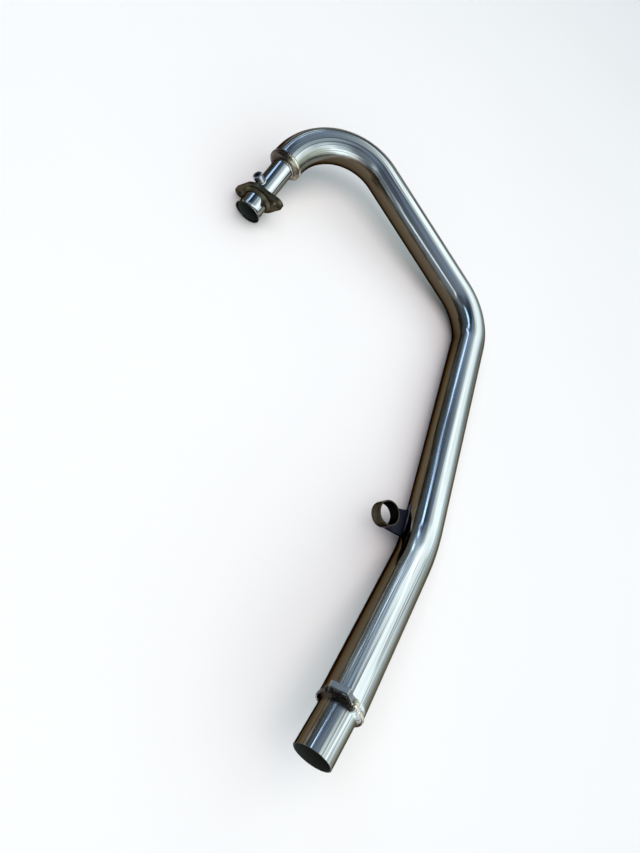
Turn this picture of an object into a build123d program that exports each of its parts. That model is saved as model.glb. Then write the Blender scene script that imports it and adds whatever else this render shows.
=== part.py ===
from build123d import *
import math
import os

os.makedirs("parts", exist_ok=True)

# Millimetres, +Z up, the header lying at rest on the floor at Z 0

# Main tube
tube_od = 50.8
tube_wall = 1.5
bend_r = 92.0
last_bend_r = 146.0

# Route corners on the tube axis, from the U-bend to the outlet weld
ubend_corner = (-200.0, -339.0, 79.0)
knee_xy = (0.0, 0.0)
last_xy = (388.0, 0.0)
outlet_weld_at = (593.0, -66.0, 78.0)
spigot_end_at = (644.5, -84.5, 88.0)
mouth_xy = (27.0, -381.0)
centre_xy = (240.9, -193.6)

# Inlet end, distances measured along the neck from the mouth
neck_od = 33.0
neck_wall = 1.6
sleeve_wall = 1.6
sleeve_relief = 0.5
lip_step = 1.9
lip_len = 2.4
flare_len = 4.0
lip_bore_round = 0.8
neck_start = 20.0
flange_front = 27.0
flange_thick = 6.0
flange_r = 26.0
flange_tip_r = 10.5
bolt_spacing = 64.0
bolt_hole_d = 9.0
flange_angle = 58.9
hub_len = 5.0
hub_step = 4.5
boss_behind = 12.5
boss_angle = -38.0
boss_d = 14.5
boss_height = 11.0
boss_bore_d = 8.6
cap_length = 13.5
cap_flat = 0.9
cap_lead = 1.0

# Outlet end
spigot_step = 4.4
spigot_wall = 1.5
shoulder_len = 8.0
shoulder_edge = 2.4
shoulder_r = 3.6

# Hanger
hanger_x = 370.0
hanger_reach = 61.2
hanger_tilt = 13.0
ring_od = 32.0
ring_wall = 2.0
ring_width = 16.0
strap_thick = 3.0
strap_drop = 2.0
strap_lean = 2.0
strap_root = 40.0
strap_run_out = 7.0

# Stop bridge over the outlet weld
bridge_angle = 33.0
bridge_width = 8.0
bridge_ahead = 5.0
bridge_top = 18.0
bridge_foot = 31.0
bridge_gap = 4.6
bridge_thick = 2.6

# Weld beads
bead_width = 5.0
bead_height = 1.0
bead_root = 1.0
leg = 2.5
flange_leg = 2.2
side_bead_r = 2.4


def unit(a, b):
    return (Vector(*b) - Vector(*a)).normalized()


tube_r = tube_od / 2
spigot_r = tube_r - spigot_step
neck_r = neck_od / 2
cap_shoulder_r = tube_r - neck_r - cap_flat
sleeve_r = neck_r + sleeve_wall
lip_r = sleeve_r + lip_step
rise = ubend_corner[2] - lip_r
slope = rise / math.hypot(ubend_corner[0] - mouth_xy[0], ubend_corner[1] - mouth_xy[1])
mouth_z = lip_r * math.cos(math.atan(slope))

offset = Vector(-centre_xy[0], -centre_xy[1], 0)
mouth = Vector(*mouth_xy, mouth_z) + offset
corner_a = Vector(*ubend_corner) + offset
corner_b = Vector(*knee_xy, tube_r) + offset
corner_c = Vector(*last_xy, tube_r) + offset
tube_end = Vector(*outlet_weld_at) + offset
spigot_end = Vector(*spigot_end_at) + offset

neck_dir = (corner_a - mouth).normalized()
neck_up = (Vector(0, 0, 1) - neck_dir * neck_dir.Z).normalized()
neck_side = neck_dir.cross(neck_up)
ubend_turn = math.acos(neck_dir.dot((corner_b - corner_a).normalized()))
cap_end = (corner_a - mouth).length - bend_r * math.tan(ubend_turn / 2) - cap_lead
cap_start = cap_end - cap_length
tube_start = mouth + neck_dir * cap_end

run_dir = (tube_end - corner_c).normalized()
run_up = (Vector(0, 0, 1) - run_dir * run_dir.Z).normalized()
run_side = run_dir.cross(run_up)
out_dir = (spigot_end - tube_end).normalized()
spigot_len = (spigot_end - tube_end).length
mitre = Plane(tube_end, z_dir=(run_dir + out_dir).normalized())
mitre_run = 2.5


def around(up, side, degrees):
    a = math.radians(degrees)
    return up * math.cos(a) + side * math.sin(a)


def neck_frame(s, degrees=0.0):
    return Plane(mouth + neck_dir * s, x_dir=around(neck_up, neck_side, degrees), z_dir=neck_dir)


def turned(points, fillets=()):
    face = make_face(Polyline(*points, close=True))
    for (x, y), r in fillets:
        corner = min(face.vertices(), key=lambda v: math.hypot(v.X - x, v.Y - y))
        face = fillet(corner, r)
    return revolve(Plane.XZ * face, Axis.Z)


def route():
    pts = [tube_start, corner_a, corner_b, corner_c, tube_end + run_dir * mitre_run]
    radii = [bend_r, bend_r, last_bend_r]
    edges = []
    start = pts[0]
    for i, r in enumerate(radii):
        a = (pts[i + 1] - pts[i]).normalized()
        b = (pts[i + 2] - pts[i + 1]).normalized()
        turn = math.acos(a.dot(b))
        t = r * math.tan(turn / 2)
        p = pts[i + 1] - a * t
        q = pts[i + 1] + b * t
        mid_dir = (b - a).normalized()
        mid = pts[i + 1] + mid_dir * (r / math.cos(turn / 2) - r)
        edges.append(Line(start, p))
        edges.append(ThreePointArc(p, mid, q))
        start = q
    edges.append(Line(start, pts[-1]))
    return Wire([e for part in edges for e in part.edges()])


def main_section(outer, inner=0.0):
    plane = Plane(tube_start, z_dir=neck_dir)
    face = Circle(outer) - Circle(inner) if inner else Circle(outer)
    return plane * face


def beyond_mitre(side):
    return mitre * Pos(0, 0, side * 50) * Box(90, 90, 100)


def main_tube():
    return sweep(main_section(tube_r, tube_r - tube_wall), path=route()) - beyond_mitre(1)


def main_solid():
    return sweep(main_section(tube_r), path=route()) - beyond_mitre(1)


def inlet_cap():
    w = tube_wall
    outer = turned([(neck_r, 0), (tube_r, 0), (tube_r, cap_length), (neck_r, cap_length)],
                   [((tube_r, 0), cap_shoulder_r)])
    inner = turned([(0, w), (tube_r - w, w), (tube_r - w, cap_length + 1), (0, cap_length + 1)],
                   [((tube_r - w, w), cap_shoulder_r - w)])
    return neck_frame(cap_start) * (outer - inner)


def neck_tube():
    length = cap_start + tube_wall - neck_start
    tube = Circle(neck_r) - Circle(neck_r - neck_wall)
    part = neck_frame(neck_start) * extrude(tube, length)
    return part - boss_frame() * extrude(Circle(boss_bore_d / 2), boss_height, both=True)


def inlet_sleeve():
    end = flange_front + flange_thick
    bore = neck_r + sleeve_relief
    pts = [(bore, 0), (lip_r, 0), (lip_r, lip_len), (sleeve_r, lip_len + flare_len), (sleeve_r, end),
           (neck_r, end), (neck_r, neck_start), (bore, neck_start)]
    mouth_round = [((lip_r, 0), 1.1), ((lip_r, lip_len), 0.8), ((sleeve_r, lip_len + flare_len), 4.0),
                   ((bore, 0), lip_bore_round)]
    return neck_frame(0) * turned(pts, mouth_round)


def flange_outline():
    half = bolt_spacing / 2
    lobe = make_hull((Circle(flange_r).edges() + (Pos(half, 0) * Circle(flange_tip_r)).edges()
                      + (Pos(-half, 0) * Circle(flange_tip_r)).edges()))
    return lobe


def head_flange():
    half = bolt_spacing / 2
    plate = extrude(flange_outline(), flange_thick)
    plate = chamfer(plate.edges().group_by(Axis.Z)[0] + plate.edges().group_by(Axis.Z)[-1], 0.5)
    hub_r = sleeve_r + hub_step
    hub = turned([(sleeve_r, -hub_len), (sleeve_r + 1.2, -hub_len), (hub_r, -1.0), (hub_r, 1.0),
                  (sleeve_r, 1.0)])
    part = plate + hub - extrude(Circle(sleeve_r), 40, both=True)
    for x in (-half, half):
        part -= Pos(x, 0, 0) * extrude(Circle(bolt_hole_d / 2), 20, both=True)
    return neck_frame(flange_front, flange_angle) * part


def boss_frame():
    radial = around(neck_up, neck_side, boss_angle)
    s = flange_front + flange_thick + boss_behind
    return Plane(mouth + neck_dir * s + radial * neck_r, x_dir=neck_dir, z_dir=radial)


def neck_solid(r):
    return neck_frame(0) * extrude(Circle(r), cap_start)


def sensor_boss():
    body = extrude(Circle(boss_d / 2), boss_height + 6)
    body = chamfer(body.edges().group_by(Axis.Z)[-1], 0.8)
    body = Pos(0, 0, -6) * body
    body -= extrude(Circle(boss_bore_d / 2), boss_height + 10, both=True)
    return boss_frame() * body - neck_solid(neck_r)


def outlet_spigot():
    lead = 6.0
    w = spigot_wall
    r = spigot_r
    edge = shoulder_len - shoulder_edge
    pts = [(tube_r - w, -lead), (tube_r, -lead), (tube_r, edge), (r, shoulder_len), (r, spigot_len),
           (r - w, spigot_len), (r - w, shoulder_len - w), (tube_r - w, edge - w / 2)]
    part = turned(pts, [((tube_r, edge), shoulder_r), ((r, shoulder_len), 1.6),
                        ((tube_r - w, edge - w / 2), 1.6)])
    part = Plane(tube_end, z_dir=out_dir) * part
    return part - beyond_mitre(-1)


def ring_bead(plane):
    low = tube_r - bead_root
    half = bead_width / 2 + bead_root * 0.9
    arc = ThreePointArc((low, -half), (tube_r + bead_height, 0), (low, half))
    face = make_face([arc.edge(), Line((low, half), (low, -half)).edge()])
    return plane * revolve(Plane.XZ * face, Axis.Z)


def tube_stub(origin, direction, back, ahead):
    return Plane(origin, z_dir=direction) * Pos(0, 0, -back) * extrude(Circle(tube_r), back + ahead)


def fillet_bead(plane, r, wide, tall):
    face = make_face(Polyline((r, 0), (r + wide, 0), (r + wide * 0.55, tall * 0.55), (r, tall), close=True))
    return plane * revolve(Plane.XZ * face, Axis.Z)


def cap_weld():
    return ring_bead(neck_frame(cap_end)) - main_solid() - tube_stub(tube_start, neck_dir, 9, 0)


def neck_weld():
    return fillet_bead(neck_frame(cap_start), neck_r, leg, -leg)


def flange_weld():
    return fillet_bead(neck_frame(flange_front + flange_thick), neck_r, sleeve_wall + leg, flange_leg)


def boss_weld():
    ring = Pos(0, 0, -6) * extrude(Circle(boss_d / 2 + 1.8), 6.8)
    top = ring.edges().group_by(Axis.Z)[-1]
    ring = chamfer(top, 1.2) - Pos(0, 0, -10) * extrude(Circle(boss_d / 2), 30)
    part = boss_frame() * ring - neck_solid(neck_r)
    return part - flange_weld() - head_flange()


def outlet_weld():
    before = tube_stub(tube_end, run_dir, 20, 10) - beyond_mitre(1)
    after = tube_stub(tube_end, out_dir, 10, 20) - beyond_mitre(-1)
    return ring_bead(mitre) - before - after


def hanger_frame():
    a = math.radians(hanger_tilt)
    up = Vector(0, math.sin(a), math.cos(a))
    return Plane(corner_b + Vector(hanger_x, 0, 0), x_dir=Vector(1, 0, 0), z_dir=up)


def hanger_ring():
    ring = Circle(ring_od / 2) - Circle(ring_od / 2 - ring_wall)
    part = Pos(0, -hanger_reach, -ring_width / 2) * extrude(ring, ring_width)
    return hanger_frame() * part


def hanger_strap():
    r = ring_od / 2
    left = r - strap_root
    near = -hanger_reach + 4
    web = make_face([Line((r, -hanger_reach), (r - strap_lean, -10)).edge(),
                     Line((r - strap_lean, -10), (left, -10)).edge(),
                     Line((left, -10), (left, -25)).edge(),
                     ThreePointArc((left, -25), (-r - 2.4, -38), (-r, near)).edge(),
                     Line((-r, near), (r, -hanger_reach)).edge()])
    plate = Pos(0, 0, -strap_drop - strap_thick) * extrude(web, strap_thick)
    top = [e for e in plate.edges() if abs(e.center().Z + strap_drop) < 0.01 and e.center().Y > near]
    side = [e for e in top if abs(e.center().X - r + strap_lean / 2) < 0.1]
    plate = chamfer(side, 0.6)
    plate -= Pos(0, -hanger_reach, -20) * extrude(Circle(r), 40)
    return hanger_frame() * plate - main_solid()


def rod(p, q, r):
    d = (q - p)
    return Plane(p, z_dir=d.normalized()) * extrude(Circle(r), d.length)


def strap_weld():
    f = hanger_frame()
    y = -math.sqrt(tube_r ** 2 - strap_drop ** 2)
    left = ring_od / 2 - strap_root
    right = ring_od / 2 - strap_lean
    p = f.from_local_coords(Vector(left - strap_run_out, y, -strap_drop))
    q = f.from_local_coords(Vector(right - 1.5, y, -strap_drop))
    return rod(p, q, side_bead_r) - main_solid() - hanger_strap()


def ring_weld():
    r = ring_od / 2
    shell = Circle(r + 1.8) - Circle(r)
    arc = extrude(shell, 1.6)
    wedge = Pos(0, 34, 0) * Box(60, 60, 20)
    return hanger_frame() * Pos(0, -hanger_reach, -strap_drop) * (arc & wedge)


def bridge_side():
    return around(run_up, run_side, bridge_angle).cross(run_dir)


def stop_bridge():
    h = tube_r + bridge_gap + bridge_thick
    t = bridge_top / 2
    foot = bridge_foot / 2
    low = math.sqrt(tube_r ** 2 - foot ** 2) - 4.0
    outer = [(-foot, low), (-t, h), (t, h), (foot, low)]
    k = bridge_thick
    inner = [(foot - k * 1.15, low), (t - k * 0.55, h - k), (-t + k * 0.55, h - k), (-foot + k * 1.15, low)]
    face = make_face(Polyline(*outer, *inner, close=True))
    strip = extrude(face, bridge_width)
    folds = [e for e in strip.edges().filter_by(Axis.Z) if abs(abs(e.center().X) - t) < 0.01]
    strip = fillet(folds, 1.2)
    start = tube_end - run_dir * bridge_ahead
    part = Plane(start, x_dir=bridge_side(), z_dir=run_dir) * strip
    part -= tube_stub(start, run_dir, 5, 25)
    groove = extrude(Circle(tube_r + bead_height + 0.1) - Circle(tube_r - 2), bead_width / 2 + 0.3, both=True)
    return part - mitre * groove - tube_stub(tube_end, out_dir, 0, 20)


def bridge_weld(side):
    up = around(run_up, run_side, bridge_angle)
    x = bridge_side()
    foot = bridge_foot / 2 * side
    y = math.sqrt(tube_r ** 2 - foot ** 2)
    start = tube_end - run_dir * (bridge_ahead + 1.5) + x * (foot * 1.04) + up * (y + 0.4)
    bead = rod(start, start + run_dir * (bridge_ahead + 1.5), side_bead_r)
    return bead - main_solid() - stop_bridge() - outlet_weld()


def save(name, shape):
    if isinstance(shape, (list, ShapeList)):
        shape = Compound(shape)
    solids = shape.solids()
    biggest = max(s.volume for s in solids)
    keep = [s for s in solids if s.volume > 0.02 * biggest]
    body = keep[0] if len(keep) == 1 else Compound(keep)
    export_step(body, os.path.join("parts", name + ".step"))
    return body


made = {
    "main_tube": main_tube(),
    "inlet_cap": inlet_cap(),
    "neck_tube": neck_tube(),
    "inlet_sleeve": inlet_sleeve(),
    "head_flange": head_flange(),
    "sensor_boss": sensor_boss(),
    "outlet_spigot": outlet_spigot(),
    "hanger_ring": hanger_ring(),
    "hanger_strap": hanger_strap(),
    "stop_bridge": stop_bridge(),
    "cap_weld": cap_weld(),
    "neck_weld": neck_weld(),
    "flange_weld": flange_weld(),
    "boss_weld": boss_weld(),
    "outlet_weld": outlet_weld(),
    "strap_weld": strap_weld(),
    "ring_weld": ring_weld(),
    "bridge_weld_left": bridge_weld(-1),
    "bridge_weld_right": bridge_weld(1),
}
for name, shape in made.items():
    save(name, shape)
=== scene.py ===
"""Exhaust header: polished tubes, turned ends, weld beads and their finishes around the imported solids."""
import math
import random

import bpy
from mathutils import Matrix, Vector, noise


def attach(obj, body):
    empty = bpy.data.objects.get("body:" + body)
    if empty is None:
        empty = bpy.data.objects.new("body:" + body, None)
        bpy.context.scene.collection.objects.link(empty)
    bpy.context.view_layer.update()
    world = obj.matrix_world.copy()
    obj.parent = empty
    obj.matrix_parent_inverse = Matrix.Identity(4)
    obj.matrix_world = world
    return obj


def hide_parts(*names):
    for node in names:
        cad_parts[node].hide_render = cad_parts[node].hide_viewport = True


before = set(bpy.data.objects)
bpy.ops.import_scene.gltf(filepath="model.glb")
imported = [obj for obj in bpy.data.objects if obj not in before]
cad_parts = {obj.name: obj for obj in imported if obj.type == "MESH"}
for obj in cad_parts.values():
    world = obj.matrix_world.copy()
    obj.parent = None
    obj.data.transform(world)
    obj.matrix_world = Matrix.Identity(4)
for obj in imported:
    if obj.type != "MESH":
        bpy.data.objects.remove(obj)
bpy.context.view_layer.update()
MM = 0.001
UP = Vector((0.0, 0.0, 1.0))
AHEAD = Vector((1.0, 0.0, 0.0))

# The main tube and its route, in mm, as in the solids
TUBE_R = 25.4
TUBE_WALL = 1.5
BEND_R = 92.0
LAST_BEND_R = 146.0
CENTRE = Vector((240.9, -193.6, 0.0))
UBEND_CORNER = Vector((-200.0, -339.0, 79.0)) - CENTRE
KNEE = Vector((0.0, 0.0, TUBE_R)) - CENTRE
LAST_CORNER = Vector((388.0, 0.0, TUBE_R)) - CENTRE
OUTLET_WELD_AT = Vector((593.0, -66.0, 78.0)) - CENTRE
SPIGOT_END = Vector((644.5, -84.5, 88.0)) - CENTRE
SEAM_OVERLAP = 1.2
STRAIGHT_STEP = 5.0
BEND_STEP = 1.2  # degrees
ROUND_STEPS = 128

# The neck and the sleeve, in mm, with places given from the mouth on
NECK_R = 16.5
NECK_WALL = 1.6
NECK_START = 20.0
NECK_STEPS = 160
NECK_STRETCHES = 24
SLEEVE_R = NECK_R + 1.6
SLEEVE_RELIEF = 0.5
SLEEVE_BEVEL = 0.5
SLEEVE_TIP = 0.1
LIP_R = SLEEVE_R + 1.9
RIM_R = 0.5
FLARE_LEN = 8.5
FLARE_STEPS = 14
SEAT_DEPTH = 3.0
SEAT_R = LIP_R - 1.5
SEAT_EASE = 0.6
SEAT_EDGE = 0.2
BORE_EASE = 0.4

# The flange, the sensor boss and the cap, in mm
FLANGE_FRONT = 27.0
FLANGE_BACK = FLANGE_FRONT + 6.0
FLANGE_ANGLE = 58.9  # degrees
BOLT_SPACING = 64.0
BOLT_R = 4.5
BOSS_AT = FLANGE_BACK + 12.5
BOSS_ANGLE = -38.0  # degrees
BOSS_R = 7.25
BOSS_BORE_R = 4.3
CAP_LENGTH = 13.5
CAP_SHOULDER_R = TUBE_R - NECK_R - 0.9
CAP_HOLE_R = NECK_R - 0.3
CAP_LEAD = 1.0
CAP_TRIM = 3.5

# The spigot, in mm, with places given from the outlet weld on
SPIGOT_R = TUBE_R - 4.4
SPIGOT_WALL = 1.5
SPIGOT_BEVEL = 0.25
BORE_BEVEL = 0.2
SHOULDER_FROM = 3.0
SHOULDER_RUN = 5.8
SHOULDER_LEAD_INSIDE = 0.8
SHOULDER_STEPS = 14

# The hanger and its tab, in mm
HANGER_X = 370.0
HANGER_REACH = 61.2
HANGER_TILT = 13.0  # degrees
RING_R = 16.0
RING_WALL = 1.5
STRAP_DROP = 2.0
STRAP_LEAN = 2.0
STRAP_ROOT = 40.0
STRAP_RUN_OUT = 7.0

# The bridge over the outlet weld, in mm. TOP and FOOT are places across the tube, left and right.
BRIDGE_ANGLE = 34.5  # degrees
BRIDGE_AHEAD = 1.6
BRIDGE_WIDTH = 6.4
BRIDGE_TOP = (-10.2, 8.6)
BRIDGE_FOOT = (-11.6, 13.4)
BRIDGE_RISE = 36.8
BRIDGE_THICK = 2.2
BRIDGE_FOLD = 2.0
BRIDGE_EDGE = 0.35
FOOT_SINK = 1.5
FOLD_STEPS = 7

# Weld beads, in mm
CAP_BEAD_BACK = 3.0
OUTLET_BEAD_AHEAD = 3.5
NECK_BEAD_OUT = 0.2
NECK_BEAD_LEAN = -45.0  # degrees
FLANGE_BEAD_BEHIND = 0.1
FLANGE_BEAD_IN = 0.6
FLANGE_BEAD_LEAN = 50.0  # degrees
STRAP_BEAD_SHORT = 1.5
STRAP_BEAD_OUT = (0.0, -0.75, 0.66)
RING_BEAD_OUT = 0.2
RING_BEAD_UP = 0.1
RING_BEAD_FROM = 8.0  # degrees
RING_BEAD_TURN = 164.0  # degrees
RING_BEAD_STEPS = 90
BLOB_LEN = 9.0
BLOB_OUT = 2.8
BLOB_AHEAD = 1.6
SET_IN = 0.05
SET_OUT = 0.1
BEAD_STEPS = 18
BEAD_SINK = 0.9
RING_STEP = 0.35
LINE_STEP = 0.3
# How a bead wanders, ripples and fades at its ends, as shares of its size. The bow is a share of the
# ripples' pitch, and the slope is the power that shapes each ripple.
WIDTH_DRIFT = 0.16
HEIGHT_DRIFT = 0.22
RIPPLE_BOW = 0.34
RIPPLE_SLOPE = 0.7
RIPPLE_HEIGHT = 0.30
RIPPLE_WIDTH = 0.10
END_FADE = 1.3
END_LEFT = 0.12
# How many noise cells lie in a mm of the bead, or across its half width, and how far apart two beads'
# noise may start
WIDTH_NOISE = 0.16
HEIGHT_NOISE = 0.21
GRAIN_NOISE = 0.9
GRAIN_NOISE_ACROSS = 3.0
NOISE_REACH = 50.0
# Each bead's half width, height and ripple pitch in mm, and its seed
BEADS = {
    "cap": (2.0, 1.0, 2.6, 3),
    "neck": (1.7, 1.1, 2.4, 5),
    "flange": (2.3, 1.5, 2.6, 7),
    "boss": (1.5, 0.9, 2.2, 11),
    "outlet": (2.1, 1.1, 2.6, 13),
    "strap": (1.9, 1.6, 2.6, 17),
    "ring": (1.5, 1.1, 2.2, 19),
    "bridge_left": (3.9, 2.5, 2.2, 23),
    "bridge_right": (3.9, 2.5, 2.2, 29),
}


# Directions and places worked out from these sizes
def unit(v):
    return v.normalized()


def axes_of(axis):
    """The two directions across an axis: the one that leans upwards, and the level one beside it."""
    up = unit(UP - axis * axis.z)
    return up, axis.cross(up)


def around(up, side, angle):
    """The direction at that angle, in radians, from up towards side."""
    return up * math.cos(angle) + side * math.sin(angle)


MOUTH_XY = Vector((27.0, -381.0, 0.0)) - CENTRE
RUN_XY = Vector((UBEND_CORNER.x - MOUTH_XY.x, UBEND_CORNER.y - MOUTH_XY.y, 0.0)).length
MOUTH_Z = LIP_R * math.cos(math.atan((UBEND_CORNER.z - LIP_R) / RUN_XY))
MOUTH = Vector((MOUTH_XY.x, MOUTH_XY.y, MOUTH_Z))
NECK_DIR = unit(UBEND_CORNER - MOUTH)
NECK_UP, NECK_SIDE = axes_of(NECK_DIR)
UBEND_TURN = math.acos(NECK_DIR.dot(unit(KNEE - UBEND_CORNER)))
CAP_END = (UBEND_CORNER - MOUTH).length - BEND_R * math.tan(UBEND_TURN / 2) - CAP_LEAD
CAP_FRONT = CAP_END - CAP_LENGTH + CAP_TRIM
TUBE_START = MOUTH + NECK_DIR * CAP_END
RUN_DIR = unit(OUTLET_WELD_AT - LAST_CORNER)
RUN_UP, RUN_SIDE = axes_of(RUN_DIR)
OUT_DIR = unit(SPIGOT_END - OUTLET_WELD_AT)
SPIGOT_LEN = (SPIGOT_END - OUTLET_WELD_AT).length
MITRE_DIR = unit(RUN_DIR + OUT_DIR)
BRIDGE_UP = around(RUN_UP, RUN_SIDE, math.radians(BRIDGE_ANGLE))
BRIDGE_ACROSS = BRIDGE_UP.cross(RUN_DIR)
HANGER_AT = KNEE + AHEAD * HANGER_X
HANGER_UP = Vector((0.0, math.sin(math.radians(HANGER_TILT)), math.cos(math.radians(HANGER_TILT))))
HANGER_ACROSS = HANGER_UP.cross(AHEAD)


def hanger_point(x, y, z):
    """A place from its distances ahead, across and up from where the hanger meets the tube's axis."""
    return HANGER_AT + AHEAD * x + HANGER_ACROSS * y + HANGER_UP * z


def hanger_dir(x, y, z):
    return unit(hanger_point(x, y, z) - HANGER_AT)


# Mesh helpers
def flattened(rings):
    return [item for ring in rings for item in ring]


def round_angles(steps):
    return [2 * math.pi * j / steps for j in range(steps)]


def new_object(name, verts, faces, coords=None):
    """A smooth mesh from points in mm. coords say where each point is on the straightened piece."""
    mesh = bpy.data.meshes.new(name)
    mesh.from_pydata([tuple(v * MM) for v in verts], [], faces)
    mesh.validate()
    if coords is not None:
        layer = mesh.attributes.new("along", "FLOAT_VECTOR", "POINT")
        layer.data.foreach_set("vector", [x * MM for c in coords for x in c])
    for face in mesh.polygons:
        face.use_smooth = True
    mesh.update()
    obj = bpy.data.objects.new(name, mesh)
    bpy.context.scene.collection.objects.link(obj)
    return obj


def finish_piece(obj, material, slot, *nodes):
    obj.data.materials.append(material)
    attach(obj, "root")
    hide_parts(*nodes)


def sharpen(obj):
    """Smooth faces with hard edges where they meet at a sharper angle than the limit."""
    limit = math.radians(35.0)
    mesh = obj.data
    normals = [face.normal.copy() for face in mesh.polygons]
    shared = {}
    for face in mesh.polygons:
        for key in face.edge_keys:
            shared.setdefault(key, []).append(face.index)
    for edge in mesh.edges:
        found = shared.get(tuple(sorted(edge.vertices)), [])
        if len(found) == 2 and normals[found[0]].angle(normals[found[1]], 0.0) > limit:
            edge.use_edge_sharp = True
    mesh.update()


def loft(rings, closed=False):
    """Rings of equal length joined by quads. The last ring joins the first when the skin closes on itself."""
    n, count = len(rings[0]), len(rings)
    faces = []
    for i in range(count if closed else count - 1):
        a, b = i * n, ((i + 1) % count) * n
        for j in range(n):
            k = (j + 1) % n
            faces.append((a + j, a + k, b + k, b + j))
    return flattened(rings), faces


def arc_profile(centre, radius, start, end, steps):
    """Points of an arc in the (along, radius) plane, its angles in degrees."""
    out = []
    for i in range(steps + 1):
        a = math.radians(start + (end - start) * i / steps)
        out.append((centre[0] + radius * math.cos(a), centre[1] + radius * math.sin(a)))
    return out


def ring_at(centre, up, side, radius, along, steps=ROUND_STEPS):
    """A circle's points, and where each is on the straightened piece: two coordinates across, one along."""
    points, coords = [], []
    for a in round_angles(steps):
        points.append(centre + around(up, side, a) * radius)
        coords.append((radius * math.cos(a), radius * math.sin(a), along))
    return points, coords


def closed_skin(name, circles):
    """A skin through circles from ring_at, the last joined to the first."""
    verts, faces = loft([points for points, _ in circles], closed=True)
    return new_object(name, verts, faces, flattened(coords for _, coords in circles))


def turned(name, origin, axis, profile):
    """A skin turned about the axis. profile is a closed loop of (along, radius)."""
    up, side = axes_of(axis)
    return closed_skin(name, [ring_at(origin + axis * s, up, side, r, s) for s, r in profile])


# The main tube
def straight_samples(start, end, direction, with_end=False):
    """Points and directions from start to end, without the end itself unless it is asked for."""
    count = max(2, int((end - start).length / STRAIGHT_STEP))
    return [(start.lerp(end, k / count), direction) for k in range(count + 1 if with_end else count)]


def bend_samples(corner, start, into, onward, radius):
    """Points and directions round a bend from its start, without its end, and that end."""
    turn = into.angle(onward)
    centre = corner + unit(onward - into) * (radius / math.cos(turn / 2))
    axis = unit(into.cross(onward))
    arm = start - centre
    steps = max(6, int(math.degrees(turn) / BEND_STEP))
    samples = []
    for k in range(steps):
        rotation = Matrix.Rotation(turn * k / steps, 3, axis)
        samples.append((centre + rotation @ arm, rotation @ into))
    return samples, centre + Matrix.Rotation(turn, 3, axis) @ arm


def route_samples():
    """Points and directions along the main tube's axis, dense in its bends."""
    points = [TUBE_START, UBEND_CORNER, KNEE, LAST_CORNER, OUTLET_WELD_AT + RUN_DIR * SEAM_OVERLAP]
    samples, start = [], points[0]
    for before, corner, after, radius in zip(points, points[1:], points[2:], (BEND_R, BEND_R, LAST_BEND_R)):
        into, onward = unit(corner - before), unit(after - corner)
        bend_start = corner - into * (radius * math.tan(into.angle(onward) / 2))
        samples += straight_samples(start, bend_start, into)
        bend, start = bend_samples(corner, bend_start, into, onward, radius)
        samples += bend
    return samples + straight_samples(start, points[-1], unit(points[-1] - start), with_end=True)


def main_tube():
    """The bent tube as one closed skin: outside, outlet end, inside, inlet end."""
    samples = route_samples()
    last_point, last_direction = samples[0]
    up = axes_of(last_direction)[0]
    outside, inside = [], []
    travelled = 0.0
    for point, direction in samples:
        travelled += (point - last_point).length
        up = unit(last_direction.rotation_difference(direction) @ up)
        up = unit(up - direction * up.dot(direction))
        side = direction.cross(up)
        outside.append(ring_at(point, up, side, TUBE_R, travelled))
        inside.append(ring_at(point, up, side, TUBE_R - TUBE_WALL, travelled))
        last_point, last_direction = point, direction
    return closed_skin("pipe_main", outside + inside[::-1])


# The inlet's pieces and the spigot
def inlet_cap():
    """A spun reducer with a round shoulder: its hole, outside, back end and inside."""
    centre = (CAP_SHOULDER_R, TUBE_R - CAP_SHOULDER_R)
    end = CAP_LENGTH - CAP_TRIM
    loop = [(0.0, CAP_HOLE_R)] + arc_profile(centre, CAP_SHOULDER_R, 180, 90, 14)
    loop += [(end, TUBE_R), (end, TUBE_R - TUBE_WALL)]
    loop += arc_profile(centre, CAP_SHOULDER_R - TUBE_WALL, 90, 180, 10) + [(TUBE_WALL, CAP_HOLE_R)]
    return turned("cap_shell", MOUTH + NECK_DIR * CAP_FRONT, NECK_DIR, loop)


def in_boss_opening(along, step):
    """Whether the neck's quad that starts at that place and step lies over the boss's bore."""
    off = ((step + 0.5) * 360.0 / NECK_STEPS - BOSS_ANGLE + 180.0) % 360.0 - 180.0
    half = math.degrees(math.asin(BOSS_BORE_R / NECK_R))
    past = along - BOSS_AT + 0.01  # the hundredth keeps rounding errors away from the opening's ends
    return abs(off) < half and -BOSS_BORE_R <= past < BOSS_BORE_R


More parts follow.
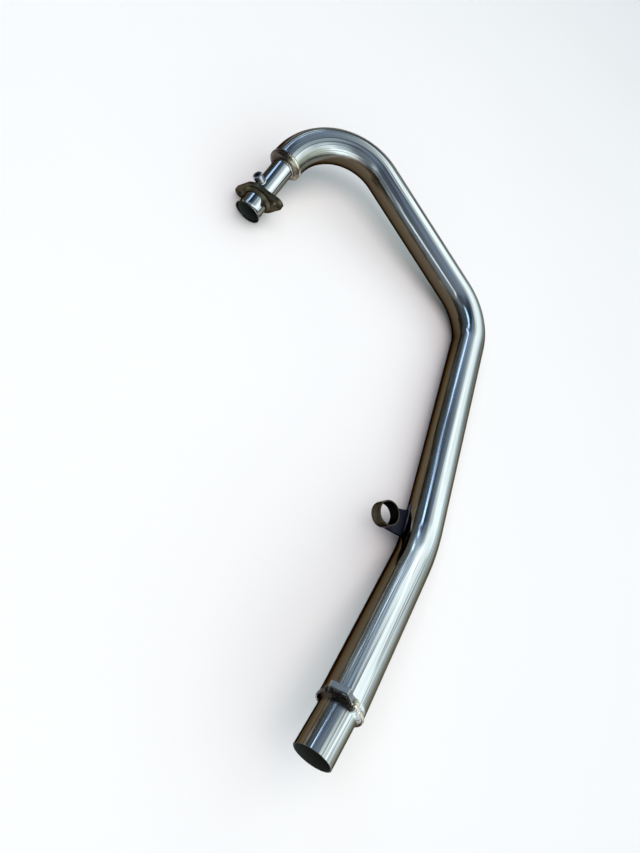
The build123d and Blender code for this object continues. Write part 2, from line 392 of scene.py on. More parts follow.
def neck_tube():
    """The neck as a tube wall with an opening below the sensor boss, closed all round its edges."""
    start, end = NECK_START, CAP_FRONT + TUBE_WALL
    marks = [start + (end - start) * i / NECK_STRETCHES for i in range(NECK_STRETCHES + 1)]
    marks = sorted({*marks, end, BOSS_AT - BOSS_BORE_R, BOSS_AT + BOSS_BORE_R})
    circles = [ring_at(MOUTH + NECK_DIR * s, NECK_UP, NECK_SIDE, r, s, NECK_STEPS)
               for r in (NECK_R, NECK_R - NECK_WALL) for s in marks]
    stretches = len(marks) - 1

    def corner(inner, i, j):
        return ((stretches + 1) * inner + i) * NECK_STEPS + j % NECK_STEPS

    def is_open(i, j):
        return not 0 <= i < stretches or in_boss_opening(marks[i], j % NECK_STEPS)

    faces = []
    for i in range(stretches):
        for j in range(NECK_STEPS):
            if is_open(i, j):
                continue
            loop = [(i, j), (i, j + 1), (i + 1, j + 1), (i + 1, j)]
            faces.append([corner(0, *p) for p in loop])
            faces.append([corner(1, *p) for p in (loop[0], *loop[:0:-1])])
            beyond = [(i - 1, j), (i, j + 1), (i + 1, j), (i, j - 1)]
            for p, q, neighbour in zip(loop, loop[1:] + loop[:1], beyond):
                if is_open(*neighbour):
                    faces.append([corner(0, *q), corner(0, *p), corner(1, *p), corner(1, *q)])
    return new_object("neck_pipe", flattened(points for points, _ in circles), faces,
                      flattened(coords for _, coords in circles))


def inlet_sleeve():
    """A sleeve that opens into a trumpet with a thin rim, and a shallow gasket seat inside its mouth."""
    bore = NECK_R + SLEEVE_RELIEF
    loop = [(RIM_R, SEAT_R)] + arc_profile((RIM_R, SEAT_R + RIM_R), RIM_R, 250, 180, 3)
    loop += arc_profile((RIM_R, LIP_R - RIM_R), RIM_R, 180, 90, 5)
    for i in range(1, FLARE_STEPS + 1):
        t = i / FLARE_STEPS
        loop.append((RIM_R + FLARE_LEN * t, SLEEVE_R + (LIP_R - SLEEVE_R) * (1 - t) ** 4))
    back = FLANGE_BACK - SLEEVE_TIP
    back_edge = [(back - SLEEVE_BEVEL, SLEEVE_R), (back, SLEEVE_R - SLEEVE_BEVEL)]
    neck_joint = [(FLANGE_BACK, NECK_R), (NECK_START, NECK_R), (NECK_START - BORE_EASE, bore)]
    seat = [(SEAT_DEPTH + SEAT_EASE, bore), (SEAT_DEPTH, bore + BORE_EASE), (SEAT_DEPTH, SEAT_R - SEAT_EDGE)]
    return turned("sleeve_shell", MOUTH, NECK_DIR, loop + back_edge + neck_joint + seat)


def shoulder_curve(start, radius):
    """From the tube's radius down to the spigot's in a smooth S."""
    out = []
    for i in range(SHOULDER_STEPS + 1):
        t = i / SHOULDER_STEPS
        ease = t * t * (3 - 2 * t)
        out.append((start + SHOULDER_RUN * t, radius - (TUBE_R - SPIGOT_R) * ease))
    return out


def outlet_spigot():
    """A rounded shoulder and a straight end with bevelled edges."""
    bore = SPIGOT_R - SPIGOT_WALL
    outside = [(-SEAM_OVERLAP, TUBE_R)] + shoulder_curve(SHOULDER_FROM, TUBE_R)
    tip = [(SPIGOT_LEN - SPIGOT_BEVEL, SPIGOT_R), (SPIGOT_LEN, SPIGOT_R - SPIGOT_BEVEL),
           (SPIGOT_LEN, bore + BORE_BEVEL), (SPIGOT_LEN - BORE_BEVEL, bore)]
    inside = shoulder_curve(SHOULDER_FROM - SHOULDER_LEAD_INSIDE, TUBE_R - SPIGOT_WALL)[::-1]
    inside.append((-SEAM_OVERLAP, TUBE_R - SPIGOT_WALL))
    return turned("spigot_shell", OUTLET_WELD_AT, OUT_DIR, outside + tip + inside)


# The bridge over the outlet weld
def folded_path(corners, radius):
    """Points and directions along a line of straight stretches with rounded folds, in a plane."""
    out = [(corners[0], unit(corners[1] - corners[0]))]
    for before, here, after in zip(corners, corners[1:], corners[2:]):
        a, b = unit(here - before), unit(after - here)
        turn = a.angle_signed(b)
        reach = radius * math.tan(abs(turn) / 2)
        for k in range(FOLD_STEPS + 1):
            share = k / FOLD_STEPS
            point = (here - a * reach).lerp(here, share).lerp(here.lerp(here + b * reach, share), share)
            out.append((point, unit(Matrix.Rotation(-turn * share, 2) @ a)))
    out.append((corners[-1], unit(corners[-1] - corners[-2])))
    return out


def stop_bridge():
    """A strip folded over the outlet seam: foot, leg, top, leg and foot, with eased edges."""
    low = [math.sqrt(TUBE_R ** 2 - foot ** 2) - FOOT_SINK for foot in BRIDGE_FOOT]
    mid = BRIDGE_RISE - BRIDGE_THICK / 2
    corners = [Vector((BRIDGE_FOOT[0], low[0])), Vector((BRIDGE_TOP[0], mid)),
               Vector((BRIDGE_TOP[1], mid)), Vector((BRIDGE_FOOT[1], low[1]))]
    h, w, e = BRIDGE_THICK / 2, BRIDGE_WIDTH / 2, BRIDGE_EDGE
    section = [(-h, e - w), (e - h, -w), (h - e, -w), (h, e - w),
               (h, w - e), (h - e, w), (e - h, w), (-h, w - e)]
    origin = OUTLET_WELD_AT + RUN_DIR * (BRIDGE_WIDTH / 2 - BRIDGE_AHEAD)
    rings = []
    for point, direction in folded_path(corners, BRIDGE_FOLD):
        outward = Vector((-direction.y, direction.x))
        ring = []
        for lift, shift in section:
            q = point + outward * lift
            ring.append(origin + BRIDGE_ACROSS * q.x + BRIDGE_UP * q.y + RUN_DIR * shift)
        rings.append(ring)
    verts, faces = loft(rings)
    first = range(len(section))
    last = range(len(verts) - len(section), len(verts))
    return new_object("bridge_strip", verts, faces + [tuple(first)[::-1], tuple(last)])


# Weld beads
def bead_ring(point, out, side, wide, tall, phase, rough, shift):
    """A bead's section at one point of its seam. phase counts the ripples up to there."""
    ring = []
    for a in round_angles(BEAD_STEPS):
        x, y = math.sin(a), math.cos(a)
        ripple = ((phase + RIPPLE_BOW * x * x) % 1.0) ** RIPPLE_SLOPE - 0.5
        lift = BEAD_SINK * y
        if y > 0:
            grain = 1 + rough * noise.noise(point * GRAIN_NOISE + side * (x * GRAIN_NOISE_ACROSS) + shift)
            lift = tall * y * (1.0 + RIPPLE_HEIGHT * ripple) * grain
        ring.append(point + side * (wide * x * (1 + RIPPLE_WIDTH * ripple)) + out * lift)
    return ring


def close_ends(verts, faces, first, last):
    """Fans of triangles that close an open bead at a point on each end."""
    count = len(verts)
    verts += [first, last]
    for j in range(BEAD_STEPS):
        k = (j + 1) % BEAD_STEPS
        faces.append((count, k, j))
        faces.append((count + 1, count - BEAD_STEPS + j, count - BEAD_STEPS + k))


def bead(name, path, closed=True, rough=0.12):
    """A rippled weld bead. path is a list of (point on the seam, outward direction)."""
    half_width, height, pitch, seed = BEADS[name]
    rng = random.Random(seed)
    shift = Vector([rng.uniform(0, NOISE_REACH) for _ in range(3)])
    count = len(path)
    gaps = [(path[(i + 1) % count][0] - path[i][0]).length for i in range(count if closed else count - 1)]
    total = sum(gaps)
    waves = max(1, round(total / pitch))
    rings = []
    travelled = 0.0
    for i, (point, out) in enumerate(path):
        before = path[i - 1][0] if closed or i > 0 else point
        after = path[(i + 1) % count][0] if closed or i < count - 1 else point
        side = unit(unit(after - before).cross(out))
        if i:
            travelled += gaps[i - 1]
        fade = 1.0
        if not closed:
            left = max(0.0, min(travelled, total - travelled))
            fade = max(END_LEFT, min(1.0, math.sqrt(left / (half_width * END_FADE))))
        wide = half_width * fade * (1 + WIDTH_DRIFT * noise.noise(point * WIDTH_NOISE + shift))
        tall = height * fade * (1 + HEIGHT_DRIFT * noise.noise(point * HEIGHT_NOISE - shift))
        rings.append(bead_ring(point, out, side, wide, tall, travelled / total * waves, rough, shift))
    verts, faces = loft(rings, closed)
    if not closed:
        close_ends(verts, faces, path[0][0], path[-1][0])
    return new_object("bead_" + name, verts, faces)


def ring_path(origin, axis, radius, tilt=0.0):
    """A circle about the axis. tilt leans the outward direction along the axis, in degrees."""
    up, side = axes_of(axis)
    lean = math.radians(tilt)
    path = []
    for a in round_angles(int(2 * math.pi * radius / RING_STEP)):
        radial = around(up, side, a)
        path.append((origin + radial * radius, unit(radial * math.cos(lean) + axis * math.sin(lean))))
    return path


def line_path(start, end, out):
    """A straight seam whose outward direction stays the same."""
    count = max(3, int((end - start).length / LINE_STEP))
    return [(start.lerp(end, i / count), out) for i in range(count + 1)]


def boss_path():
    """Where the boss's side meets the round of the neck."""
    radial = around(NECK_UP, NECK_SIDE, math.radians(BOSS_ANGLE))
    across = radial.cross(NECK_DIR)
    base = MOUTH + NECK_DIR * BOSS_AT
    reach = BOSS_R + SET_OUT
    path = []
    for a in round_angles(int(2 * math.pi * BOSS_R / LINE_STEP)):
        x, y = reach * math.cos(a), reach * math.sin(a)
        z = math.sqrt(NECK_R ** 2 - y ** 2)
        outward = around(NECK_DIR, across, a)
        normal = unit(radial * z + across * y)
        path.append((base + NECK_DIR * x + across * y + radial * z, unit(outward * 0.8 + normal)))
    return path


def round_welds():
    """The beads that run right round: cap, neck, flange, boss and outlet."""
    cap_at = MOUTH + NECK_DIR * (CAP_END - CAP_BEAD_BACK)
    neck_at = MOUTH + NECK_DIR * (CAP_FRONT + NECK_BEAD_OUT)
    flange_at = MOUTH + NECK_DIR * (FLANGE_BACK + FLANGE_BEAD_BEHIND)
    outlet_at = OUTLET_WELD_AT + OUT_DIR * OUTLET_BEAD_AHEAD
    seams = {
        "cap": ring_path(cap_at, NECK_DIR, TUBE_R - SET_IN),
        "neck": ring_path(neck_at, NECK_DIR, NECK_R + NECK_BEAD_OUT, NECK_BEAD_LEAN),
        "flange": ring_path(flange_at, NECK_DIR, SLEEVE_R - FLANGE_BEAD_IN, FLANGE_BEAD_LEAN),
        "boss": boss_path(),
        "outlet": ring_path(outlet_at, MITRE_DIR, TUBE_R - SET_IN),
    }
    return [(bead(name, path), "weld_steel", name + "_weld") for name, path in seams.items()]


def strap_weld():
    """The bead along the tab's root on the tube."""
    across = -math.sqrt(TUBE_R ** 2 - STRAP_DROP ** 2)
    start = hanger_point(RING_R - STRAP_ROOT - STRAP_RUN_OUT, across, -STRAP_DROP)
    end = hanger_point(RING_R - STRAP_LEAN - STRAP_BEAD_SHORT, across, -STRAP_DROP)
    path = line_path(start, end, hanger_dir(*STRAP_BEAD_OUT))
    return bead("strap", path, closed=False), "weld_dark", "strap_weld"


def ring_weld():
    """The bead on the side of the ring that meets the tab."""
    path = []
    reach = RING_R + RING_BEAD_OUT
    for i in range(RING_BEAD_STEPS + 1):
        a = math.radians(RING_BEAD_FROM + RING_BEAD_TURN * i / RING_BEAD_STEPS)
        x, y = math.cos(a), math.sin(a)
        point = hanger_point(reach * x, reach * y - HANGER_REACH, RING_BEAD_UP - STRAP_DROP)
        path.append((point, hanger_dir(x, y, 1.0)))
    return bead("ring", path, closed=False), "weld_dark", "ring_weld"


def bridge_welds():
    """A heap of weld beside each of the bridge's feet, the right one pale gold."""
    made = []
    for name, foot, key in (("left", BRIDGE_FOOT[0] - BLOB_OUT, "weld_steel"),
                            ("right", BRIDGE_FOOT[1] + BLOB_OUT, "weld_gold")):
        outward = unit(BRIDGE_UP * math.sqrt(TUBE_R ** 2 - foot ** 2) + BRIDGE_ACROSS * foot)
        start = OUTLET_WELD_AT - RUN_DIR * (BRIDGE_AHEAD + BLOB_AHEAD) + outward * (TUBE_R + SET_OUT)
        path = line_path(start, start + RUN_DIR * BLOB_LEN, outward)
        made.append((bead("bridge_" + name, path, closed=False, rough=0.7), key, "bridge_weld_" + name))
    return made


# Material helpers
class Nodes:
    """Short calls for the nodes of a material or of the world."""

    def __init__(self, tree):
        self.tree = tree

    def add(self, kind, **values):
        node = self.tree.nodes.new(kind)
        for key, value in values.items():
            setattr(node, key, value)
        return node

    def put(self, socket, value):
        """Links another node's output to the socket, or writes a number, vector or colour there."""
        if isinstance(value, bpy.types.NodeSocket):
            self.tree.links.new(value, socket)
        else:
            socket.default_value = value

    def math(self, operation, a, b=0.0, clamp=False):
        node = self.add("ShaderNodeMath", operation=operation, use_clamp=clamp)
        self.put(node.inputs[0], a)
        self.put(node.inputs[1], b)
        return node.outputs[0]

    def plus(self, a, b):
        return self.math("ADD", a, b)

    def times(self, a, b):
        return self.math("MULTIPLY", a, b)

    def vector(self, operation, a, b=None, out="Vector"):
        node = self.add("ShaderNodeVectorMath", operation=operation)
        self.put(node.inputs[0], a)
        if b is not None:
            self.put(node.inputs[1], b)
        return node.outputs[out]

    def dimmed(self, vector, factor):
        """A vector or colour times a number."""
        node = self.add("ShaderNodeVectorMath", operation="SCALE")
        self.put(node.inputs[0], vector)
        self.put(node.inputs["Scale"], factor)
        return node.outputs[0]

    def stretched(self, vector, factors):
        node = self.add("ShaderNodeMapping")
        self.put(node.inputs["Vector"], vector)
        node.inputs["Scale"].default_value = factors
        return node.outputs[0]

    def noise(self, vector, scale, detail=3.0, rough=0.5):
        node = self.add("ShaderNodeTexNoise")
        self.put(node.inputs["Vector"], vector)
        node.inputs["Scale"].default_value = scale
        node.inputs["Detail"].default_value = detail
        node.inputs["Roughness"].default_value = rough
        return node.outputs["Fac"]

    def ramp(self, fac, stops):
        """A colour for each value. stops are (value, colour)."""
        node = self.add("ShaderNodeValToRGB")
        self.put(node.inputs[0], fac)
        elements = node.color_ramp.elements
        while len(elements) < len(stops):
            elements.new(0.5)
        for element, (place, colour) in zip(elements, stops):
            element.position = place
            element.color = (*colour, 1.0)
        return node.outputs[0]

    def span(self, fac, low, high, to_low, to_high):
        """The stretch from low to high brought to another one, and held at its ends."""
        node = self.add("ShaderNodeMapRange")
        for name, value in (("Value", fac), ("From Min", low), ("From Max", high),
                            ("To Min", to_low), ("To Max", to_high)):
            self.put(node.inputs[name], value)
        return node.outputs[0]

    def wander(self, pattern, amount):
        """A noise pattern as a drift of that amount to either side of nothing."""
        return self.span(pattern, 0.3, 0.7, -amount, amount)

    def soft(self, fac, low, high):
        """0 before low and 1 past high, with a soft step between them."""
        node = self.add("ShaderNodeMapRange", interpolation_type="SMOOTHSTEP")
        for name, value in (("Value", fac), ("From Min", low), ("From Max", high)):
            self.put(node.inputs[name], value)
        return node.outputs[0]

    def mix(self, fac, a, b):
        """Two colours blended. Each is a socket, or a tuple of red, green and blue.
        The node's inputs 6 and 7 and its output 2 are the ones for colours."""
        node = self.add("ShaderNodeMix", data_type="RGBA")
        self.put(node.inputs[0], fac)
        for socket, colour in ((node.inputs[6], a), (node.inputs[7], b)):
            self.put(socket, (*colour, 1.0) if isinstance(colour, tuple) else colour)
        return node.outputs[2]

    def bump(self, height, strength, distance, normal=None):
        node = self.add("ShaderNodeBump")
        self.put(node.inputs["Height"], height)
        node.inputs["Strength"].default_value = strength
        node.inputs["Distance"].default_value = distance
        if normal is not None:
            self.put(node.inputs["Normal"], normal)
        return node.outputs[0]


class Surface(Nodes):
    """A new material and its nodes."""

    def __init__(self, name):
        self.material = bpy.data.materials.new(name)
        self.material.use_nodes = True
        super().__init__(self.material.node_tree)
        self.shader = self.tree.nodes["Principled BSDF"]

    def give(self, **values):
        """Values or sockets for the shader's inputs. An underscore stands for a blank."""
        for name, value in values.items():
            self.put(self.shader.inputs[name.replace("_", " ")], value)

    def place(self):
        """Where a point is in the shared frame, in metres."""
        return self.add("ShaderNodeTexCoord").outputs["Object"]

    def facing(self, direction):
        """How far the surface faces a direction fixed to the part, from -1 to 1."""
        normal = self.add("ShaderNodeTexCoord").outputs["Normal"]
        return self.vector("DOT_PRODUCT", normal, direction, out="Value")

    def inside(self, origin, axis, radius):
        """1 on what lies nearer to that axis than the radius, in mm, and 0 beyond it."""
        arm = self.vector("SUBTRACT", self.place(), origin * MM)
        away = self.vector("LENGTH", self.vector("CROSS_PRODUCT", arm, axis), out="Value")
        return self.soft(away, (radius + 0.35) * MM, radius * MM)


def shaded(colour, factor):
    return tuple(c * factor for c in colour)


# Finishes. The lee side, turned towards the ground, is painted brown and the flank grey: painted dark
# reflection.
LEE = unit(Vector((-0.1, -0.4, -1.0)))
FLANK = unit(Vector((0.1, 1.0, 0.0)))
STEEL = (0.64, 0.665, 0.685)
NECK_STEEL = (0.64, 0.66, 0.69)
SLEEVE_STEEL = (0.60, 0.62, 0.65)
# The colours of the painted dark reflection on the lee side
BROWN = (0.105, 0.082, 0.054)
GREY_BROWN = (0.105, 0.100, 0.080)
GREY_GREEN = (0.115, 0.112, 0.092)
FLANK_DARK_REFLECTION = (0.20, 0.20, 0.15)
# The black of the painted shade next to the spigot's weld
SHADE_BLACK = (0.045, 0.038, 0.032)
SOOT = (0.040, 0.046, 0.041)
POLISHED_EDGE = (0.20, 0.17, 0.14, 1.0)
DULL_EDGE = (0.25, 0.22, 0.19, 1.0)
ZONE_FADE = 25.0  # mm


class Polish(Surface):
    """Polished stainless steel: grinding lines along the piece, wider bands and smudges."""

    def __init__(self, name):
        super().__init__(name)
        at = self.add("ShaderNodeAttribute", attribute_name="along").outputs["Vector"]
        self.fine = self.noise(self.stretched(at, (1.0, 1.0, 0.006)), 1100.0, 3.0, 0.6)
        self.lines = self.noise(self.stretched(at, (1.0, 1.0, 0.008)), 400.0, 2.0, 0.55)
        self.bands = self.noise(self.stretched(at, (1.0, 1.0, 0.02)), 130.0, 2.0, 0.5)
        self.smudge = self.noise(at, 28.0, 4.0, 0.6)
        split = self.add("ShaderNodeSeparateXYZ")
        self.put(split.inputs[0], at)
        self.distance = split.outputs[2]
        self.radius = self.vector("LENGTH", self.vector("MULTIPLY", at, (1.0, 1.0, 0.0)), out="Value")

    def coarseness(self, grind, zones):
        """How deep the lines are. zones are stretches (from, to, how much deeper) along the piece, in mm."""
        coarse = grind
        for start, end, strength in zones:
            begun = self.soft(self.distance, (start - ZONE_FADE) * MM, (start + ZONE_FADE) * MM)
            going_on = self.soft(self.distance, (end + ZONE_FADE) * MM, (end - ZONE_FADE) * MM)
            coarse = self.plus(coarse, self.times(self.times(begun, going_on), strength))
        return coarse

    def ground(self, colour, coarse):
        """The steel's colour with its bands, smudges and dark grinding lines."""
        base = self.mix(self.span(self.bands, 0.35, 0.65, 0.0, 1.0), shaded(colour, 0.93), colour)
        smudged = (colour[0] * 0.93, colour[1] * 0.88, colour[2] * 0.80)
        base = self.mix(self.span(self.smudge, 0.5, 0.75, 0.0, 0.25), base, smudged)
        line = self.soft(self.lines, 0.53, 0.60)
        groove = self.math("MULTIPLY", line, self.times(coarse, 0.48), clamp=True)
        return self.mix(groove, base, shaded(colour, 0.34))

    def with_dark_reflection(self, base, reflection_colour, flank, more, more_from):
        """Painted dark reflection: a grey tint on the flank, and brown on the lee side.
        flank is how far a face turns there where the tint begins and where it is full. more widens the
        brown, and over the first more_from mm it reaches further round."""
        base = self.mix(self.times(self.soft(self.facing(FLANK), *flank), 0.8), base, FLANK_DARK_REFLECTION)
        cover = self.plus(self.facing(LEE), more)
        for pattern, amount in ((self.smudge, 0.05), (self.bands, 0.05), (self.lines, 0.03)):
            cover = self.plus(cover, self.wander(pattern, amount))
        if more_from:
            near = self.soft(self.distance, (more_from + 30.0) * MM, more_from * MM)
            cover = self.plus(cover, self.times(near, 0.14))
        streak = self.span(self.bands, 0.3, 0.7, 0.0, 1.0)
        brown = self.mix(streak, shaded(reflection_colour, 0.85), shaded(reflection_colour, 1.1))
        return self.mix(self.soft(cover, -0.42, -0.17), base, brown)

    def painted_shade(self, base, length):
        """Painted shade: black over a first stretch of that length, in mm, next to the weld, where the face
        turns away from the flank.
        """
        near = self.soft(self.distance, (length + 4.0) * MM, (length - 2.0) * MM)
        away = self.soft(self.plus(self.facing(FLANK), self.wander(self.smudge, 0.1)), 0.16, -0.10)
        return self.mix(self.times(near, away), base, SHADE_BLACK)

    def scratches(self, coarse):
        """Bumps from the lines, the bands and the finest grain, one upon the other."""
        normal = self.bump(self.times(self.span(self.lines, 0.3, 0.7, 0.0, 1.0), coarse), 1.0, 0.00008)
        normal = self.bump(self.bands, 0.3, 0.0005, normal)
        return self.bump(self.times(self.fine, coarse), 0.6, 0.000025, normal)


def polished(name, colour, rough, grind, bore, zones=(), reflection_colour=BROWN, flank=(0.36, 0.66), more=0.0,
             more_from=0.0, painted_shade=0.0):
    """Polished steel, sooty inside the radius bore, with painted dark reflection and painted shade. The
    functions of Polish tell what zones, the dark reflection's colour, flank, more, more_from and the stretch
    of painted shade mean."""
    n = Polish(name)
    coarse = n.coarseness(grind, zones)
    base = n.with_dark_reflection(n.ground(colour, coarse), reflection_colour, flank, more, more_from)
    if painted_shade:
        base = n.painted_shade(base, painted_shade)
    soot = n.soft(n.radius, (bore + 0.2) * MM, (bore - 0.2) * MM)
    roughness = n.plus(n.span(n.fine, 0.3, 0.7, rough * 0.75, rough * 1.3),
                       n.span(n.smudge, 0.45, 0.75, 0.0, 0.04))
    n.give(Base_Color=n.mix(soot, base, SOOT), Roughness=n.plus(roughness, n.times(soot, 0.4)),
           Metallic=n.math("SUBTRACT", 1.0, n.times(soot, 0.85)), Specular_Tint=POLISHED_EDGE,
           Normal=n.scratches(coarse))
    return n.material


def dull(name, dark, light, rough, hollows=()):
    """Rolled or cast steel left unpolished, with blotches and grain.
    The last argument lists (origin, axis, radius, colour) of round hollows whose walls are given that colour;
    the hanger ring's near-black is painted shade."""
    n = Surface(name)
    at = n.place()
    blotch = n.noise(at, 55.0, 5.0, 0.62)
    grain = n.noise(at, 420.0, 4.0, 0.6)
    pits = n.noise(at, 1260.0, 2.0, 0.5)
    base = n.mix(n.span(blotch, 0.32, 0.68, 0.0, 1.0), dark, light)
    base = n.mix(n.span(grain, 0.55, 0.8, 0.0, 0.35), base, shaded(dark, 0.6))
    for origin, axis, radius, colour in hollows:
        base = n.mix(n.inside(origin, axis, radius), base, colour)
    roughness = n.plus(n.span(blotch, 0.3, 0.7, rough * 0.85, rough * 1.2),
                       n.span(pits, 0.4, 0.7, -0.04, 0.06))
    normal = n.bump(pits, 0.25, 0.00006, n.bump(grain, 0.35, 0.00012))
    n.give(Base_Color=base, Roughness=roughness, Metallic=1.0, Specular_Tint=DULL_EDGE, Normal=normal)
    return n.material


def weld(name, stops, rough, painted_shade):
    """Weld metal: bright ripples with heat colours that change along and across the bead. The last argument
    sets how dark the painted shade is where the bead faces away from the flank."""
    n = Surface(name)
    at = n.place()
    heat = n.noise(at, 95.0, 3.0, 0.6)
    soot = n.noise(at, 320.0, 4.0, 0.6)
    colour = n.mix(n.span(soot, 0.52, 0.72, 0.0, 0.6), n.ramp(heat, stops), (0.10, 0.085, 0.075))
    # Painted shade: darker where the bead faces away from the flank
    away = n.soft(n.plus(n.facing(FLANK), n.wander(heat, 0.12)), 0.20, -0.12)
    colour = n.mix(n.times(away, painted_shade), colour, (0.050, 0.038, 0.034))
    n.give(Base_Color=colour, Roughness=n.span(soot, 0.3, 0.7, rough * 0.8, rough * 1.5), Metallic=1.0,
           Normal=n.bump(n.noise(at, 900.0, 4.0, 0.6), 0.3, 0.0001))
    return n.material


# Heat colours, as (value of the noise, colour)
BRIGHT_WELD = [(0.30, (0.22, 0.19, 0.24)), (0.42, (0.40, 0.34, 0.28)), (0.50, (0.62, 0.56, 0.43)),
               (0.62, (0.86, 0.83, 0.74)), (0.75, (0.46, 0.43, 0.48))]
GOLD_WELD = [(0.30, (0.42, 0.36, 0.25)), (0.45, (0.80, 0.74, 0.58)), (0.60, (0.90, 0.86, 0.72))]
CAP_HEAT = [(0.30, (0.07, 0.06, 0.085)), (0.42, (0.17, 0.145, 0.11)), (0.52, (0.25, 0.22, 0.155)),
            (0.66, (0.42, 0.39, 0.32))]
BLUE_WELD = [(0.32, (0.06, 0.055, 0.11)), (0.45, (0.11, 0.09, 0.19)), (0.55, (0.15, 0.12, 0.14)),
             (0.70, (0.28, 0.23, 0.19))]

# The coarsely ground stretches of the main tube: from the cap past the U-bend, and past the last bend
TUBE_ZONES = ((0.0, 230.0, 1.6), (860.0, 2000.0, 1.6))
BOLT_HOLES = [(MOUTH + NECK_DIR * FLANGE_FRONT
               + around(NECK_UP, NECK_SIDE, math.radians(FLANGE_ANGLE)) * (BOLT_SPACING / 2 * side),
               NECK_DIR, BOLT_R, (0.20, 0.145, 0.115)) for side in (-1, 1)]
# The hanger ring's inner wall is painted near-black: painted shade
RING_HOLE = (hanger_point(0.0, -HANGER_REACH, 0.0), HANGER_UP, RING_R - RING_WALL, (0.006, 0.006, 0.006))

materials = {
    "tube": polished("polished_tube", STEEL, 0.105, 0.35, TUBE_R - 0.8, TUBE_ZONES, more_from=190.0),
    "spigot": polished("polished_spigot", STEEL, 0.10, 1.6, SPIGOT_R - 0.7, painted_shade=9.0),
    "neck": polished("mirror_neck", NECK_STEEL, 0.075, 0.12, NECK_R - 0.8, reflection_colour=GREY_GREEN,
                     flank=(0.74, 0.92), more=0.22),
    "sleeve": polished("mirror_sleeve", SLEEVE_STEEL, 0.08, 0.15, NECK_R + 1.1, reflection_colour=GREY_BROWN,
                       flank=(0.70, 0.92), more=0.16),
    "cap": weld("satin_cap", CAP_HEAT, 0.24, 0.8),
    "flange": dull("flange_steel_dull", (0.038, 0.032, 0.022), (0.170, 0.152, 0.110), 0.36, BOLT_HOLES),
    # The boss's pale blue-white is painted reflection of bluish light
    "boss": dull("boss_steel_painted_reflection", (0.40, 0.43, 0.53), (0.62, 0.65, 0.76), 0.24),
    "ring": dull("hanger_ring_steel", (0.035, 0.029, 0.021), (0.100, 0.084, 0.060), 0.40, [RING_HOLE]),
    # The strap's near-black colour is painted shade
    "strap": dull("hanger_strap_steel", (0.010, 0.011, 0.020), (0.030, 0.030, 0.045), 0.42),
    "bridge": dull("bridge_steel_matte", (0.26, 0.28, 0.29), (0.42, 0.44, 0.45), 0.38),
    "weld_steel": weld("weld_bright", BRIGHT_WELD, 0.22, 1.0),
    "weld_gold": weld("weld_pale_gold", GOLD_WELD, 0.28, 0.0),
    "weld_dark": weld("weld_heat_blue", BLUE_WELD, 0.30, 0.0),
}

# The pieces. The gold weld has no slot of its own and shares the bright one's.
finish_piece(main_tube(), materials["tube"], "tube_steel", "main_tube")
for maker, key, slot, node in ((inlet_cap, "cap", "cap_steel", "inlet_cap"),
                               (neck_tube, "neck", "neck_steel", "neck_tube"),
                               (inlet_sleeve, "sleeve", "sleeve_steel", "inlet_sleeve"),
                               (outlet_spigot, "spigot", "spigot_steel", "outlet_spigot"),
                               (stop_bridge, "bridge", "bridge_steel", "stop_bridge")):
    piece = maker()
    sharpen(piece)
    finish_piece(piece, materials[key], slot, node)
for piece, key, node in round_welds() + [strap_weld(), ring_weld()] + bridge_welds():
    finish_piece(piece, materials[key], "weld_dark" if key == "weld_dark" else "weld_steel", node)
for node, key in (("head_flange", "flange"), ("sensor_boss", "boss"), ("hanger_ring", "ring"),
                  ("hanger_strap", "strap")):
    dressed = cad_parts[node].data.materials
    dressed.clear()
    dressed.append(materials[key])


# Floor, light and camera: metres and watts, but the lens and the sensor in mm
FLOOR_REACH = 9.0
FILL_AT = Vector((0.25, -0.25, 2.7))
FILL_TOWARDS = Vector((-0.1, 0.1, 0.0))
FILL_SIZE = 2.8
FILL_POWER = 50.0
FILL_COLOUR = (1.0, 0.87, 0.83)
CAMERA_AT = (0.40126, -0.11687, 0.65691)
CAMERA_TURN = (22.7747, -21.2075, 109.1226)  # degrees
CAMERA_LENS = 24.27
CAMERA_SENSOR = 36.0

# Glows: azimuth, elevation, half width and half height in degrees, colour, how much of the panel its soft
# edge takes, and lean in degrees
ROOM_GLOWS = (
    (127, 41, 29, 19, (0.80, 0.85, 0.83), 0.85, -10),
    (92, 38, 68, 42, (0.30, 0.36, 0.36), 0.95, 16),
    (0, 46, 46, 48, (0.11, 0.12, 0.13), 0.4, 16),
    (149, 59, 34, 9, (0.22, 0.22, 0.20), 0.8, 20),
    (48, 22, 60, 20, (0.42, 0.45, 0.44), 0.95, 2),
    (197, 36, 22, 14, (0.24, 0.31, 0.37), 0.95, -30),
    (167, 40, 18, 16, (0.36, 0.37, 0.34), 0.95, 10),
)
# Flags: the same, with the share of the room's light that each takes in place of the colour
FLAGS = (
    (245, 70, 45, 15, 0.58, 0.9, 4),
    (185, 71, 24, 6, 0.40, 0.9, 0),
)
SMALL_GLOWS = (
    (27, 18, 24, 19, (0.60, 0.66, 0.64), 0.7, 0),
    (70, 27, 22, 30, (0.46, 0.51, 0.50), 0.5, 0),
    (168, 36, 12, 10, (0.42, 0.46, 0.47), 0.9, 0),
    (193, 57, 8, 20, (0.07, 0.11, 0.18), 0.9, 0),
    (327, 74, 12, 8, (0.05, 0.08, 0.14), 0.9, 0),
    (151, 64, 10, 10, (0.34, 0.37, 0.35), 0.9, 0),
    (109, 22, 13, 22, (0.30, 0.34, 0.34), 0.9, 0),
    (141, 14, 8, 9, (0.24, 0.31, 0.31), 0.9, 0),
)
# The thin bright strips that show as sharp lines in the metal
STRIPS = (
    (222, 37.8, 9.5, 2.3, (1.10, 1.50, 2.25), 0.5, -6),
    (231.5, 46, 3.4, 5.2, (0.85, 1.20, 1.75), 0.6, 0),
    (257, 55, 16, 3.0, (1.15, 1.75, 2.40), 0.6, 14),
    (206, 26, 8, 3.0, (1.30, 1.62, 1.90), 0.6, 15),
    (328, 39.5, 9.5, 2.0, (1.35, 1.45, 1.5), 0.7, 34),
)


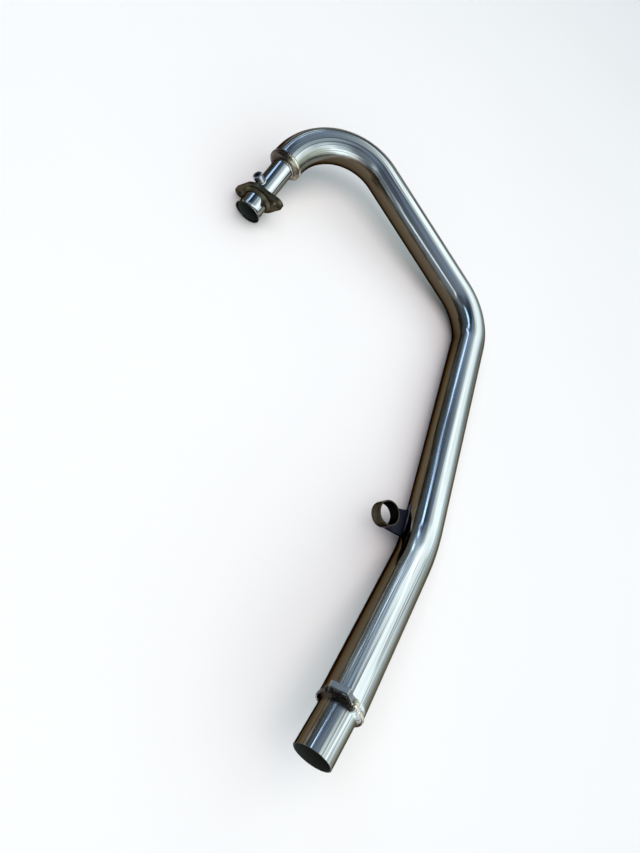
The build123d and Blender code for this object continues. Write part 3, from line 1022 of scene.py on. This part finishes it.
def make_floor():
    r = FLOOR_REACH
    mesh = bpy.data.meshes.new("floor")
    mesh.from_pydata([(-r, -r, 0), (r, -r, 0), (r, r, 0), (-r, r, 0)], [], [(0, 1, 2, 3)])
    obj = bpy.data.objects.new("floor", mesh)
    bpy.context.scene.collection.objects.link(obj)
    n = Surface("floor_pale")
    pale = n.mix(n.noise(n.place(), 3.0), (0.93, 0.93, 0.93), (0.96, 0.96, 0.96))
    n.give(Base_Color=pale, Roughness=0.85, Specular_IOR_Level=0.0)
    mesh.materials.append(n.material)


def make_fill():
    """A wide soft light from above, for the floor, that the metal doesn't mirror."""
    data = bpy.data.lights.new("fill", "AREA")
    data.size = FILL_SIZE
    data.energy = FILL_POWER
    data.color = FILL_COLOUR
    obj = bpy.data.objects.new("fill", data)
    bpy.context.scene.collection.objects.link(obj)
    obj.location = FILL_AT
    obj.rotation_euler = (FILL_TOWARDS - FILL_AT).to_track_quat("-Z", "Y").to_euler()
    obj.visible_camera = False
    obj.visible_glossy = False


def heading(azimuth, elevation):
    """The direction at that azimuth and elevation, in degrees."""
    a, e = math.radians(azimuth), math.radians(elevation)
    return Vector((math.cos(a) * math.cos(e), math.sin(a) * math.cos(e), math.sin(e)))


class Sky(Nodes):
    """The studio round the object, made of soft glows."""

    def __init__(self):
        world = bpy.data.worlds.new("studio")
        bpy.context.scene.world = world
        world.use_nodes = True
        super().__init__(world.node_tree)
        self.ray = self.add("ShaderNodeTexCoord").outputs["Generated"]
        self.total = None

    def dot(self, direction):
        return self.vector("DOT_PRODUCT", self.ray, direction, out="Value")

    def pour(self, colour, fac):
        """Adds light of that colour where the factor lets it through."""
        part = self.dimmed(colour, fac)
        self.total = part if self.total is None else self.vector("ADD", self.total, part)

    def panel(self, azimuth, elevation, half_wide, half_high, edge, lean):
        """A rounded panel at that heading, its edges fading over a share of its size."""
        to = heading(azimuth, elevation)
        level = unit(Vector((-to.y, to.x, 0.0)))
        rise = to.cross(level)
        turn = math.radians(lean)
        wide = level * math.cos(turn) + rise * math.sin(turn)
        high = rise * math.cos(turn) - level * math.sin(turn)
        front = self.math("MAXIMUM", self.dot(to), 0.001)
        reach = []
        for axis, half in ((wide, half_wide), (high, half_high)):
            offset = self.math("ABSOLUTE", self.math("DIVIDE", self.dot(axis), front))
            share = self.math("DIVIDE", offset, math.tan(math.radians(half)))
            reach.append(self.math("POWER", share, 2.5))
        return self.soft(self.plus(*reach), 1.0 + edge, 1.0 - edge)

    def glow(self, azimuth, elevation, half_wide, half_high, colour, edge, lean):
        self.pour(colour, self.panel(azimuth, elevation, half_wide, half_high, edge, lean))

    def flag(self, azimuth, elevation, half_wide, half_high, depth, edge, lean):
        """A black panel that takes a share of the light behind it."""
        cut = self.times(self.panel(azimuth, elevation, half_wide, half_high, edge, lean), depth)
        self.total = self.dimmed(self.total, self.math("SUBTRACT", 1.0, cut))


def make_world():
    sky = Sky()
    height = sky.dot(UP)
    sky.pour((0.125, 0.13, 0.115), sky.soft(height, 0.55, 0.0))
    sky.pour((0.08, 0.11, 0.135), sky.soft(height, 0.1, 0.6))
    sky.pour((0.01, 0.02, 0.05), sky.soft(height, 0.90, 0.995))
    for glow in ROOM_GLOWS:
        sky.glow(*glow)
    for flag in FLAGS:
        sky.flag(*flag)
    for glow in SMALL_GLOWS + STRIPS:
        sky.glow(*glow)
    sky.put(sky.tree.nodes["Background"].inputs["Color"], sky.total)


def make_camera():
    data = bpy.data.cameras.new("camera")
    data.sensor_width = CAMERA_SENSOR
    data.lens = CAMERA_LENS
    data.clip_start, data.clip_end = 0.01, 100.0
    obj = bpy.data.objects.new("camera", data)
    bpy.context.scene.collection.objects.link(obj)
    obj.location = CAMERA_AT
    obj.rotation_euler = tuple(math.radians(a) for a in CAMERA_TURN)
    bpy.context.scene.camera = obj


make_floor()
make_world()
make_camera()
make_fill()
bpy.context.scene.view_settings.view_transform = "Standard"
